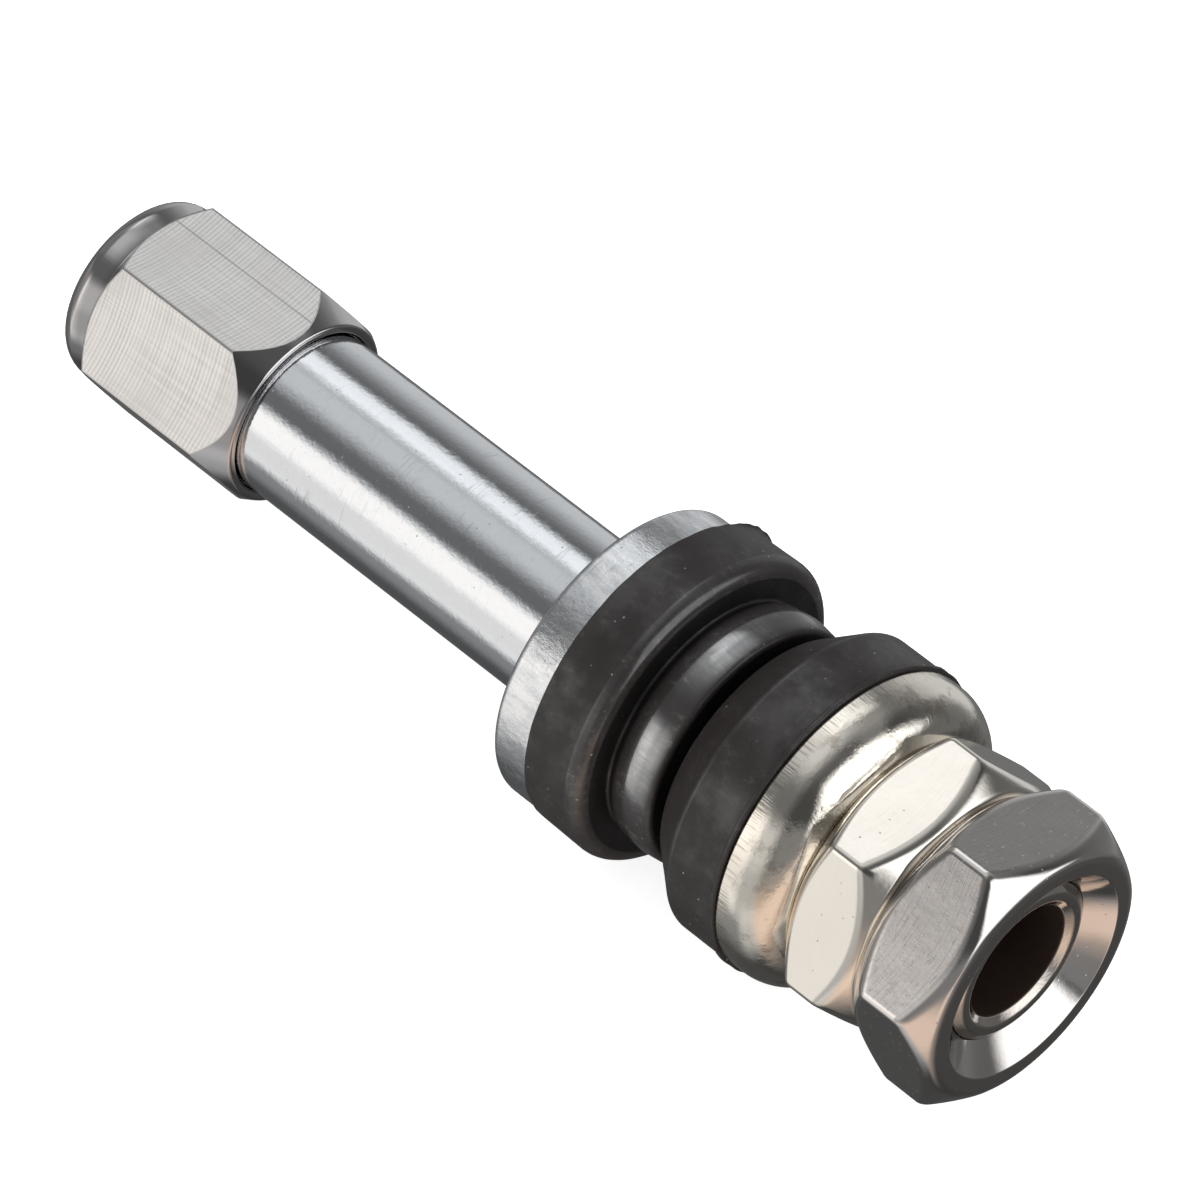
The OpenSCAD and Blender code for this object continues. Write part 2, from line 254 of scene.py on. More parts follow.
class Socket:
    # one output of a node; operators on values add Math nodes
    def __init__(self, tree, link=None):
        self.tree = tree
        self.link = link

    def node(self, kind, settings=None, inputs=None, output=0):
        made = self.tree.nodes.new("ShaderNode" + kind)
        for key, value in (settings or {}).items():
            setattr(made, key, value)
        for key, value in (inputs or {}).items():
            if isinstance(value, Socket):
                self.tree.links.new(value.link, made.inputs[key])
            else:
                made.inputs[key].default_value = value
        return Socket(self.tree, made.outputs[output])

    def maths(self, operation, a, b=0.0):
        return self.node("Math", {"operation": operation}, {0: a, 1: b})

    def __add__(self, other):
        return self.maths("ADD", self, other)

    def __sub__(self, other):
        return self.maths("SUBTRACT", self, other)

    def __rsub__(self, other):
        return self.maths("SUBTRACT", other, self)

    def __mul__(self, other):
        return self.maths("MULTIPLY", self, other)

    __radd__ = __add__
    __rmul__ = __mul__

    def size(self):
        return self.maths("ABSOLUTE", self)

    def axis(self, letter):
        return self.node("SeparateXYZ", {}, {0: self}, letter)

    def ramp(self, low, high):
        # smooth step of the value from 0 at low to 1 at high
        settings = {"interpolation_type": "SMOOTHSTEP"}
        return self.node("MapRange", settings, {"Value": self, "From Min": low, "From Max": high})

    def stretch(self, x, y, z):
        return self.node("VectorMath", {"operation": "MULTIPLY"}, {0: self, 1: (x, y, z)})

    def noise(self, scale=1.0, detail=3.0, rough=0.55):
        inputs = {"Vector": self, "Scale": scale, "Detail": detail, "Roughness": rough}
        return self.node("TexNoise", {}, inputs, "Fac")

    def mix(self, first, second):
        # two colours mixed by this value
        first = first if isinstance(first, Socket) else (*first, 1)
        second = second if isinstance(second, Socket) else (*second, 1)
        return self.node("Mix", {"data_type": "RGBA"}, {0: self, 6: first, 7: second}, 2)


class Finish:
    # a material with one shader, and the places that its patterns are read from
    def __init__(self, name):
        self.material = bpy.data.materials.new(name)
        self.material.use_nodes = True
        tree = self.material.node_tree
        self.shader = tree.nodes["Principled BSDF"]
        self.start = Socket(tree)
        self.place = self.start.node("TexCoord", {}, {}, "Object").stretch(1 / mm, 1 / mm, 1 / mm)
        self.chart = self.start.node("UVMap", {"uv_map": "chart"})  # girth and walk along the outline
        self.x = self.place.axis("X")
        across = self.place.stretch(0, 1, 1)
        self.radius = self.start.node("VectorMath", {"operation": "LENGTH"}, {0: across}, "Value")

    def mask(self, name):
        return self.start.node("Attribute", {"attribute_name": name}, {}, "Fac")

    def pits(self, place, scale, size):
        # small round spots: 1 within a share of the distance to a scattered point
        inputs = {"Vector": place, "Scale": scale}
        away = self.start.node("TexVoronoi", {"feature": "F1"}, inputs, "Distance")
        return 1 - away.ramp(size * 0.4, size)

    def wear(self, sockets, bumps=()):
        # bumps are (height, depth in millimetres) and add up from the first to the last
        normal = None
        for height, depth in bumps:
            inputs = {"Height": height, "Distance": depth * mm, "Strength": 1.0}
            if normal:
                inputs["Normal"] = normal
            normal = self.start.node("Bump", {}, inputs)
        if normal:
            sockets = {**sockets, "Normal": normal}
        for key, value in sockets.items():
            if isinstance(value, Socket):
                self.start.tree.links.new(value.link, self.shader.inputs[key])
            else:
                self.shader.inputs[key].default_value = (*value, 1) if isinstance(value, tuple) else value
        return self.material


# Stem

stem = {"bodyR": 5.1, "tipR": 3.85, "tailR": 5.0, "tipLength": 10.0, "flangeThick": 2.65, "chamfer": 0.35,
        "boreR": 3.53, "boreDepth": 24.0, "passageR": 1.6, "coreR": 2.65, "chamberR": 2.2,
        "chamberEnd": -24.15, "drillSlope": 0.6, "lead": 0.3, "shoulderCut": 0.2, "endRound": 0.5,
        "tipPitch": 0.794, "tipThread": 0.48, "tipRunOut": 1.2, "tailPitch": 1.0, "tailThread": 0.6,
        "turns": 128, "warmFrom": 18, "warmFull": 20}
# bore is painted shade: the inside of the bore is coloured near-black brown
stemTones = {"shade": (0.73, 0.745, 0.765), "light": (0.82, 0.83, 0.85), "worn": (0.42, 0.42, 0.43),
             "ground": (0.97, 0.96, 0.95), "line": (0.45, 0.46, 0.48), "warm": (0.76, 0.70, 0.64),
             "bore": (0.06, 0.038, 0.03)}
tailBoreR = stem["tailR"] + fit  # the bore of every piece that sits on the tail
shoulder = stemStart + stem["tipLength"]


def stemChrome():
    # polished plating, a little wavy, with faint turning rings and pits, a ground flange and a bore painted
    # dark brown as its shade
    f = Finish("stemChrome")
    tone = stemTones
    rings = f.place.stretch(1, 0.04, 0.04).noise(7, 4, 0.6)
    peel = f.place.noise(3.2, 3, 0.55)
    mottle = f.place.noise(2.4, 5, 0.7)
    ground = f.place.stretch(0.35, 1, 1).noise(1.3, 5, 0.7)
    patch = f.place.noise(0.35, 2).ramp(0.42, 0.62)
    pit = f.pits(f.place, 1.1, 0.07) + f.pits(f.place.stretch(1, 1.3, 1.3), 2.6, 0.06)
    marks = rings.ramp(0.52, 0.68) * f.place.noise(0.5, 3, 0.6).ramp(0.5, 0.62)
    flange = f.radius.ramp(stem["bodyR"] + 0.2, stem["bodyR"] + 0.5)
    # painted shade: this mask colours the bore near-black brown for the shade inside it
    bore = 1 - f.radius.ramp(stem["boreR"] + 0.02, stem["boreR"] + 0.1)
    colour = mottle.mix(tone["shade"], tone["light"])
    colour = (flange * ground.ramp(0.48, 0.7) * 0.45 + pit * 0.35).mix(colour, tone["worn"])
    colour = (flange * (1 - ground.ramp(0.38, 0.52)) * 0.8).mix(colour, tone["ground"])
    colour = (marks * 0.2).mix(colour, tone["line"])
    colour = f.x.ramp(stem["warmFrom"], stem["warmFull"]).mix(colour, tone["warm"])
    colour = bore.mix(colour, tone["bore"])
    rough = 0.025 + rings * patch * 0.09 + pit * 0.2 + marks * 0.2
    rough = rough + flange * (0.1 + mottle * 0.16) + bore * 0.45
    bumps = [(rings * (0.2 + patch), 0.0055), (peel, 0.009), (pit, -0.008),
             (flange * (mottle + ground), 0.022)]
    return f.wear({"Base Color": colour, "Roughness": rough, "Metallic": 1 - bore * 0.5}, bumps)


def makeStem():
    # one closed line: tip, shoulder, body, flange and tail outside, then the bores back to the tip
    s = stem
    front = outerStart - s["flangeThick"]
    boreEnd = stemEnd - s["boreDepth"]
    point = s["drillSlope"] * (s["boreR"] - s["passageR"])
    neck = s["drillSlope"] * (s["chamberR"] - s["passageR"])
    line, tag = outline([
        (stemStart + s["lead"], s["coreR"], 0.05, 0),
        (stemStart, s["coreR"] + s["lead"], 0.05, 0),
        (stemStart, s["tipR"] - s["chamfer"], 0.08, 0),
        (stemStart + s["chamfer"], s["tipR"], 0.08, 124),
        (shoulder, s["tipR"], 0.1, 1),
        (shoulder, s["bodyR"] - s["shoulderCut"], 0.05, 0),
        (shoulder + s["shoulderCut"], s["bodyR"], 0.05, 40),
        (front, s["bodyR"], 0.3, 6),
        (front, flangeR, 0.4, 4),
        (outerStart, flangeR, 0.12, 4),
        (outerStart, s["tailR"], 0.1, 270),
        (stemEnd - s["chamfer"], s["tailR"], 0.15, 0),
        (stemEnd, s["tailR"] - s["endRound"], 0.4, 1),
        (stemEnd, s["boreR"] + s["endRound"], 0.3, 0),
        (stemEnd - s["chamfer"], s["boreR"], 0.15, 12),
        (boreEnd, s["boreR"], 0.1, 1),
        (boreEnd - point, s["passageR"], 0.1, 4),
        (s["chamberEnd"] + neck, s["passageR"], 0.05, 0),
        (s["chamberEnd"], s["chamberR"], 0.05, 6),
        (seatEnd, s["chamberR"], 0.05, 1),
        (seatStart, s["coreR"], 0.05, 4),
    ])
    angle, girth = roundRing(s["turns"], s["bodyR"])
    x, r = line[..., 0], line[..., 1]
    onTip, onTail = (tag[:, None] == run for run in (3.5, 10.5))  # the two threaded runs
    tipStart, tipEnd = stemStart + s["lead"], shoulder - s["tipRunOut"]
    r = r - onTip * thread(x, angle, tipStart, tipEnd, s["tipPitch"], s["tipThread"], 0.5)
    r = r - onTail * thread(x, angle, outerEnd, stemEnd - 0.1, s["tailPitch"], s["tailThread"], 0.3)
    piece = latheMesh("stemTurned", x, r, angle, girth)
    dress(piece, "valve_stem", "stem", "stem_chrome")


# Dust cap

# feed is the distance between the tool's lines on the flats, and mark is where on the girth a dark line runs
cap = {"flats": 11.8, "cornerRound": 0.22, "topR": 5.8, "topNeckR": 5.45, "topNeck": 0.1, "topRound": 1.25,
       "topHeight": 2.2, "mouthR": 5.725, "mouthTaper": 2.15, "mouthRound": 0.25, "mouthGap": 0.08,
       "recess": 0.3, "pitch": 0.794, "threadDepth": 0.4, "feed": 0.27, "mark": 22.4}
capTones = {"low": (0.58, 0.565, 0.55), "high": (0.92, 0.90, 0.875), "blush": (0.86, 0.81, 0.77),
            "mark": (0.3, 0.29, 0.28), "polished": (0.62, 0.60, 0.595)}


def capChrome():
    # flats with regular cross lines over a faint weave, between a polished top and a polished mouth
    f = Finish("capChrome")
    tone = capTones
    flat = f.mask("flat")
    cloud = f.place.noise(0.3, 3)
    alongLines = f.chart.stretch(9, 0.1, 1).noise(1, 3, 0.6)
    acrossLines = f.chart.stretch(0.12, 8, 1).noise(1, 3, 0.6)
    wander = f.chart.stretch(0.5, 0.3, 1).noise(1, 3, 0.6)
    phase = f.chart.axis("Y") * (2 * math.pi / cap["feed"]) + wander * 2.5
    feed = f.start.maths("SINE", phase) * 0.5 + 0.5
    feed = feed * f.chart.stretch(0.16, 0.25, 1).noise(1, 3).ramp(0.2, 0.6)
    weave = alongLines * 0.4 + acrossLines * 0.38 + feed * 0.22
    mark = 1 - (f.chart.axis("X") - cap["mark"]).size().ramp(0.02, 0.09)
    brushed = weave.ramp(0.25, 0.68).mix(tone["low"], tone["high"])
    brushed = (cloud.ramp(0.4, 0.75) * 0.3).mix(brushed, tone["blush"])
    brushed = (mark * 0.6).mix(brushed, tone["mark"])
    colour = flat.mix(tone["polished"], brushed)
    rough = 0.05 + cloud * 0.04 + flat * (0.19 + weave * 0.12)
    bumps = [(flat * alongLines, 0.006), (flat * acrossLines, 0.006), (flat * feed, 0.004), (cloud, 0.012)]
    return f.wear({"Base Color": colour, "Roughness": rough, "Metallic": 1.0}, bumps)


def makeCap():
    # round top, hexagon with a cone at both ends, then the mouth and the threaded bore up to its ceiling
    c = cap
    angle, rho, girth, onFlat = hexRing(c["flats"], c["cornerRound"], 0)
    hexTop = capStart + c["topHeight"]
    ceiling = shoulder - c["recess"]
    slope = c["mouthTaper"] / (c["flats"] / math.sqrt(3) - c["mouthR"])
    mouth = stem["bodyR"] + c["mouthGap"]
    bore = stem["tipR"] + fit
    topEdge = []  # a quarter of a circle from the flat top to the rim
    for a in np.linspace(0, math.pi / 2, 12):
        drop, inset = c["topRound"] * (1 - math.cos(a)), c["topRound"] * (1 - math.sin(a))
        topEdge.append((capStart + drop, c["topR"] - inset, 0, None))
    line, tag = outline([
        (capStart, 0, 0, 3),
        *topEdge,
        (hexTop - c["topNeck"], c["topNeckR"], 0.15, 0),
        (hexTop, c["topNeckR"], 0.1, 0),
        (hexTop + rho - c["topR"], rho, 0.12, 60),
        (capEnd - slope * (rho - c["mouthR"]), rho, 0.16, 2),
        (capEnd, c["mouthR"], c["mouthRound"], 0),
        (capEnd, mouth, c["mouthRound"], 1),
        (ceiling, mouth, 0.05, 1),
        (ceiling, bore, 0.1, 120),
        (sealStart, bore, 0, 1),
        (sealStart, 0, 0, None),
    ], arcSteps=8, loop=False)
    x, r = line[..., 0], line[..., 1]
    first = len(topEdge) + 3  # the corner where the flats start
    onFlats, inBore = (tag[:, None] == first + run for run in (0.5, 5.5))  # two runs counted from it
    r = r + inBore * thread(x, angle, sealEnd + 0.2, shoulder - 0.5, c["pitch"], c["threadDepth"], 0.4)
    piece = latheMesh("capHex", x, r, angle, girth, {"flat": onFlats * onFlat})
    dress(piece, "dust_cap", "cap", "cap_chrome")


# Grommets

rubberOff = (0.17, 0.11)  # how far the rubber sits off the axis, as (y, z)
# the moulding flash is torn at one place, and six patches of the neck are rubbed bright
outer = {"rimRound": 0.9, "proud": 0.1, "neckR": 7.85, "neckLength": 3.4, "neckRound": 0.35, "groove": 0.6,
         "fall": 0.2, "stepR": 5.8, "flash": 0.06, "flashWide": 0.16, "torn": 0.5,
         "tornAngle": math.radians(33), "tornWide": 0.3, "sway": 0.025, "patches": 6,
         "rubbedAngle": math.radians(92), "shineFade": 0.9, "rimShine": 0.11, "creaseShadeFade": 1.2,
         "turns": 256}
inner = {"noseR": 7.6, "noseLength": 2.55, "rimR": 9.675, "lip": 0.3, "flash": 0.12, "sway": 0.02,
         "rimShine": 0.08, "turns": 256}
# the near-black crease tone is painted shade for the grooves and the faces hidden between the rubber pieces
rubberTones = {"dark": (0.015, 0.0125, 0.0118), "light": (0.031, 0.0255, 0.024),
               "scuff": (0.085, 0.072, 0.065), "dust": (0.35, 0.33, 0.31),
               "creaseShade": (0.002, 0.0016, 0.0014)}


def grommetRubber():
    # satin brown-black moulded rubber, scuffed on its rims, with a glossy neck drawn along the axis, and
    # painted shade in its grooves and hidden faces
    f = Finish("grommetRubber")
    tone = rubberTones
    shine = f.mask("shine")
    grain = f.place.noise(10, 4, 0.7)
    cloud = f.place.noise(0.4, 4, 0.6)
    scuff = f.place.stretch(0.5, 1, 1).noise(2.2, 6, 0.75).ramp(0.5, 0.68) * cloud.ramp(0.42, 0.58)
    scuff = scuff * (0.3 + shine.ramp(0.04, 0.15) * 0.7)
    drawn = f.place.stretch(0.16, 1, 1).noise(4.5, 5, 0.7)
    dust = f.pits(f.place, 0.9, 0.075)
    colour = scuff.mix(cloud.mix(tone["dark"], tone["light"]), tone["scuff"])
    colour = (dust * 0.7).mix(colour, tone["dust"])
    # painted shade in the grooves and between the pieces
    colour = (f.mask("creaseShade") * 0.8).mix(colour, tone["creaseShade"])
    rough = 0.44 + cloud * 0.14 + scuff * 0.08
    coat = shine * (0.65 + drawn * 0.9) + cloud.ramp(0.35, 0.7) * 0.1 + scuff * 0.1
    bumps = [(grain, 0.005), (cloud, 0.07), (scuff, 0.016), (shine * drawn, 0.022), (dust, 0.012)]
    gloss = {"Coat Weight": coat, "Coat IOR": 4.0, "Coat Roughness": 0.12}
    return f.wear({"Base Color": colour, "Roughness": rough, **gloss}, bumps)


def makeOuter():
    # rim against the flange with ragged moulding flash, rounded seat edge, neck and thin step
    g = outer
    line, tag = outline([
        (outerStart, tailBoreR, 0, 4),
        (outerStart, outerR, 0.1, 10),
        (0, outerR + g["proud"], g["rimRound"], 4),
        (0, g["neckR"] - g["groove"], 0.3, 2),
        (g["groove"], g["neckR"] - g["fall"], 0.4, 5),
        (g["neckLength"] * 0.55, g["neckR"], 3.0, 5),
        (g["neckLength"], g["neckR"] - g["fall"], g["neckRound"], 2),
        (g["neckLength"], g["stepR"], 0.1, 1),
        (outerEnd, g["stepR"], 0.15, 1),
        (outerEnd, tailBoreR, 0, 4),
    ], arcSteps=7)
    angle, girth = roundRing(g["turns"], outerR)
    x, r = line[..., 0], line[..., 1] + 0 * angle
    # a rough ripple pushes the edge out, most of all at the torn place, and a slow one draws the rim in
    torn = np.exp(-(((angle - g["tornAngle"]) / g["tornWide"]) ** 2)) * g["torn"]
    rough = np.clip(ripple(angle, 4, 60, 0.45) / 6, -0.6, 1)
    ragged = rough * (g["flash"] + torn * 0.5) + torn * 0.6
    edge = np.exp(-(((x - outerStart) / g["flashWide"]) ** 2)) * (r > outerR - 0.3)
    sway = np.abs(ripple(angle, 9, 6, 1.2) * g["sway"] * (r > outerR - 1.2))
    tag = tag[:, None]
    rubbed = 0.2 + 0.8 * ease(0.5 + 0.5 * np.cos(g["patches"] * (angle - g["rubbedAngle"])))
    inset = np.minimum(x - g["groove"], g["neckLength"] - x) / g["shineFade"]
    shine = ((tag >= 4) & (tag <= 6)) * ease(inset) * rubbed + (tag == 2) * g["rimShine"]
    # painted shade in the groove before the neck, fading along it, and on the drop to the step, the step and
    # the faces inside
    creaseShade = ((tag >= 2.5) & (tag <= 4.5)) * (1 - ease(x / g["creaseShadeFade"])) + (tag >= 6.5)
    masks = {"shine": shine, "creaseShade": creaseShade}
    piece = latheMesh("outerGrommet", x, r + edge * ragged - sway, angle, girth, masks, rubberOff, tailBoreR)
    dress(piece, "outer_grommet", "stem", "grommet_rubber")


def makeInner():
    # tapered nose, straight rim and a thin uneven lip at the washer
    g = inner
    line, tag = outline([
        (innerStart, tailBoreR, 0, 4),
        (innerStart, g["noseR"], 0.4, 4),
        (innerStart + g["noseLength"], g["rimR"], 0.45, 8),
        (innerEnd - g["lip"], g["rimR"], 0.08, 0),
        (innerEnd - g["lip"], lipR, 0.08, 0),
        (innerEnd, lipR, 0.1, 4),
        (innerEnd, tailBoreR, 0, 6),
    ], arcSteps=6)
    angle, girth = roundRing(g["turns"], lipR)
    x, r = line[..., 0], line[..., 1] + 0 * angle
    lip = ease((r - g["rimR"]) / (lipR - g["rimR"]))
    ragged = (np.clip(ripple(angle, 21, 40, 0.5) / 5, -1, 1) - 1) * g["flash"]
    sway = np.abs(ripple(angle, 15, 6, 1.2)) * g["sway"] * (r > g["rimR"] - 1)
    tag = tag[:, None]
    # painted shade on the nose's front face, against the outer grommet
    masks = {"shine": (tag == 2) * g["rimShine"], "creaseShade": tag < 1}
    piece = latheMesh("innerGrommet", x, r + lip * ragged - sway, angle, girth, masks, rubberOff, tailBoreR)
    dress(piece, "inner_grommet", "clamp", "grommet_rubber")


# Washer

washer = {"sheet": 1.1, "rim": 0.9, "shoulder": 2.2, "turns": 160, "arcSteps": 14, "offCentre": (0.15, 0.1),
          "shearFrom": 0.55, "shearTo": 1.1}
washerTones = {"dark": (0.85, 0.785, 0.685), "light": (0.97, 0.92, 0.84), "stain": (0.40, 0.34, 0.27)}


def washerNickel():
    # softer cream plating with sheared lines along the rim and a blotched shoulder
    f = Finish("washerNickel")
    tone = washerTones
    rim = 1 - f.x.ramp(washerStart + washer["shearFrom"], washerStart + washer["shearTo"])
    shear = f.chart.stretch(6.5, 0.22, 1).noise(1, 3, 0.65)
    blotch = f.place.noise(0.7, 4, 0.6)
    grain = f.place.noise(5, 3, 0.6)
    swirl = f.place.stretch(1, 0.25, 0.25).noise(2.6, 4, 0.65)
    stain = blotch.ramp(0.52, 0.68) * (1 - rim)
    colour = (blotch * 0.6 + grain * 0.4).mix(tone["dark"], tone["light"])
    colour = (rim * shear.ramp(0.52, 0.66) * 0.6 + stain * 0.5).mix(colour, tone["stain"])
    rough = 0.06 + blotch * 0.07 + rim * shear * 0.12 + stain * 0.1
    bumps = [(rim * shear, 0.016), (blotch, 0.02), (swirl, 0.009), (grain * stain, 0.012)]
    return f.wear({"Base Color": colour, "Roughness": rough, "Metallic": 1.0}, bumps)


def dome(rimR, faceR, start, end):
    # an arc from the rim to the flat face, of radius (w^2 + h^2) / 2w for a width w and a height h
    wide, high = rimR - faceR, end - start
    big = (wide ** 2 + high ** 2) / (2 * wide)
    sweep = np.linspace(0, math.asin(min(high / big, 1)), washer["arcSteps"])
    return [(start + big * math.sin(a), rimR - big + big * math.cos(a), 0, None) for a in sweep]


def makeWasher():
    # pressed dome: upright rim, an arc to the flat face, and the same line inside
    w = washer
    faceR = washerR - w["shoulder"]
    over = dome(washerR, faceR, washerStart + w["rim"], washerEnd)
    under = dome(washerR - w["sheet"], faceR - w["sheet"], washerStart, washerEnd - w["sheet"])
    line = outline([
        (washerStart, washerR - w["sheet"], 0.05, 1),
        (washerStart, washerR, 0.18, 3),
        *over[:-1],
        (*over[-1][:2], 0.3, 4),
        (washerEnd, tailBoreR, 0.1, 1),
        (washerEnd - w["sheet"], tailBoreR, 0.1, 3),
        *under[::-1][:-1],
    ], arcSteps=6)[0]
    angle, girth = roundRing(w["turns"], washerR)
    x, r = line[..., 0], line[..., 1]
    piece = latheMesh("washerDome", x, r, angle, girth, None, w["offCentre"], tailBoreR)
    dress(piece, "cup_washer", "clamp", "washer_nickel")


# Nuts

nut = {"faceR": 7.55, "taper": 1.55, "cornerRound": 0.5, "edgeBlend": 0.5, "faceRound": 0.9, "lead": 0.5,
       "threadDepth": 0.5, "flatSteps": 40}
clampNut = {"node": "hex_nut", "flats": 15.9, "turn": 10.2, "sinkR": tailBoreR + nut["lead"],
            "backTaper": 0.8, "offCentre": (0, 0)}
lockNut = {"node": "lock_nut", "flats": 16.05, "turn": -15.1, "sinkR": 6.45,
           "backTaper": 1.0, "offCentre": (-0.18, -0.12)}
# rubbed is the tone of painted shade on the lock nut's flats
nutTones = {"light": (0.94, 0.89, 0.82), "dark": (0.88, 0.82, 0.74), "lockLight": (0.83, 0.79, 0.765),
            "lockDark": (0.75, 0.70, 0.66), "worn": (0.42, 0.37, 0.32), "rubbed": (0.31, 0.28, 0.265),
            "fleck": (0.92, 0.89, 0.86)}


def nutNickel():
    # bright warm plating, gently wavy, with small dark specks
    # the lock nut's flats are drawn, nicked and flecked, and painted darker towards their upper back side as
    # shade
    f = Finish("nutNickel")
    tone = nutTones
    flat = f.mask("flat")
    lock = f.x.ramp(lockStart - 0.2, lockStart + 0.6)
    waves = f.place.noise(0.35, 1, 0.4)
    dapple = f.place.noise(2.2, 3, 0.6)
    drawn = f.chart.stretch(0.3, 7, 1).noise(1, 4, 0.7)
    nicks = f.chart.stretch(2.2, 0.5, 1).noise(1.5, 5, 0.75).ramp(0.58, 0.7)
    flecks = f.chart.stretch(0.9, 1.6, 1).noise(1.6, 6, 0.85).ramp(0.6, 0.66) * flat * lock
    speck = f.pits(f.place, 1.7, 0.1) * f.place.noise(0.8, 2).ramp(0.45, 0.6)
    worn = (drawn.ramp(0.5, 0.7) * 0.3 + nicks * 0.36) * (0.2 + lock * 0.8) * flat
    # painted shade: the lock nut's flats grow darker along y and z, towards their upper back side
    slant = {0: f.place, 1: (0, 0.71, 0.71)}
    across = f.start.node("VectorMath", {"operation": "DOT_PRODUCT"}, slant, "Value")
    rubbed = (across + dapple * 4).ramp(0, 6) * flat * lock
    colour = lock.mix(waves.mix(tone["light"], tone["dark"]), waves.mix(tone["lockLight"], tone["lockDark"]))
    colour = (speck * 0.5 + worn * 0.5).mix(colour, tone["worn"])
    # the painted shade on the lock nut's flats
    colour = (rubbed * 0.2).mix(colour, tone["rubbed"])
    colour = (flecks * 0.6).mix(colour, tone["fleck"])
    rough = 0.06 + dapple * 0.06 + worn * 0.16 + speck * 0.2 + flat * 0.06
    bumps = [(waves, 0.02), (dapple, 0.004), (flat * drawn * (0.2 + lock), 0.003), (worn, 0.006),
             (flecks, 0.006), (speck, -0.012)]
    return f.wear({"Base Color": colour, "Roughness": rough, "Metallic": 1.0}, bumps)


def makeNut(name, own):
    # A turned envelope with a cone at both ends, cut by the hexagon with soft edges,
    # r = softMin(envelope, hexagon), and a threaded bore that widens to sinkR at its free end
    start, end = ends(own["node"])
    angle, rho, girth, onFlat = hexRing(own["flats"], nut["cornerRound"], own["turn"], nut["flatSteps"])
    wide = rho.max() + nut["edgeBlend"]
    run = nut["taper"] * (wide - nut["faceR"]) / (own["flats"] / math.sqrt(3) - nut["faceR"])
    boreStart, boreEnd = start + nut["lead"], end - (own["sinkR"] - tailBoreR)
    line, tag = outline([
        (boreStart, tailBoreR, 0.05, 0),
        (start, tailBoreR + nut["lead"], 0.08, 1),
        (start, nut["faceR"], 0.3, 26),
        (start + run * own["backTaper"], wide, 0, 8),
        (end - run, wide, 0, 26),
        (end, nut["faceR"], nut["faceRound"], 1),
        (end, own["sinkR"], 0.14, 3),
        (boreEnd, tailBoreR, 0.06, 40),
    ], arcSteps=7)
    x, r = line[..., 0], line[..., 1] + 0 * angle
    tag = tag[:, None]
    outside = (tag >= 2) & (tag <= 5)
    flat = outside * ease((r - rho) / nut["edgeBlend"]) * onFlat
    r = np.where(outside, softMin(r, rho, nut["edgeBlend"]), r)
    inBore = tag == 7.5
    r = r + inBore * thread(x, angle, boreStart, boreEnd, stem["tailPitch"], nut["threadDepth"], 0.4)
    piece = latheMesh(name, x, r, angle, girth, {"flat": flat}, own["offCentre"], tailBoreR)
    dress(piece, own["node"], "nuts", "nut_nickel")


# Seals and core

def sealRubber():
    # plain matt rubber with a fine grain
    f = Finish("sealRubber")
    grain = f.place.noise(8, 4, 0.6)
    colour = grain.mix((0.02, 0.02, 0.021), (0.05, 0.048, 0.046))
    return f.wear({"Base Color": colour, "Roughness": 0.6 + grain * 0.2}, [(grain, 0.02)])


def turnedMetal(name, light, dark, gloss):
    # turned rings round the axis
    f = Finish(name)
    rings = f.place.stretch(1, 0.03, 0.03).noise(12, 4, 0.65)
    cloud = f.place.noise(1.2, 3)
    colour = (rings * 0.5 + cloud * 0.5).mix(dark, light)
    rough = gloss + rings * 0.15
    return f.wear({"Base Color": colour, "Roughness": rough, "Metallic": 1.0}, [(rings, 0.01)])


def dressCore():
    # the seals and the core keep their own solids and take a finish
    slots = {part["node"]: part["material_slot"] for part in frame["record"]["subparts"]}
    for node, solid in frame["nodes"].items():
        if node.startswith("core_") or node == "cap_seal":
            solid.data.materials.clear()
            solid.data.materials.append(finishes[slots[node]])
    print("core dressed")


def squashSpring():
    # the spring gets a mesh of its own, and how far the pin can be pressed is printed; the spring keeps its
    # length
    springFixed = 30.25
    joints = {joint["name"]: joint for joint in frame["record"]["behaviour"]["joints"]}
    press = joints["core_press"]["range_m"][1] / mm
    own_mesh(frame["nodes"]["core_spring"], "core_press", axis=(1, 0, 0), anchor=(-springFixed * mm, 0, 0),
              keep=1 - press / (springEnd - springStart))
    print("spring from", round(springStart, 2), "to", round(springEnd, 2), "gives way by", press)


finishes = {
    "stem_chrome": stemChrome(),
    "cap_chrome": capChrome(),
    "washer_nickel": washerNickel(),
    "nut_nickel": nutNickel(),
    "grommet_rubber": grommetRubber(),
    "seal_rubber": sealRubber(),
    "core_brass": turnedMetal("coreBrass", (0.83, 0.62, 0.30), (0.66, 0.46, 0.20), 0.16),
    "spring_steel": turnedMetal("springSteel", (0.68, 0.68, 0.68), (0.5, 0.5, 0.5), 0.2),
}
print("finishes:", len(finishes))

makeStem()
makeCap()
makeOuter()
makeInner()
makeWasher()
makeNut("clampNut", clampNut)
makeNut("lockNut", lockNut)
dressCore()
squashSpring()


# Floor, light and camera, in metres

paper = {"half": 2.0, "colour": (0.93, 0.93, 0.93, 1), "rough": 0.9, "glow": 0.8}


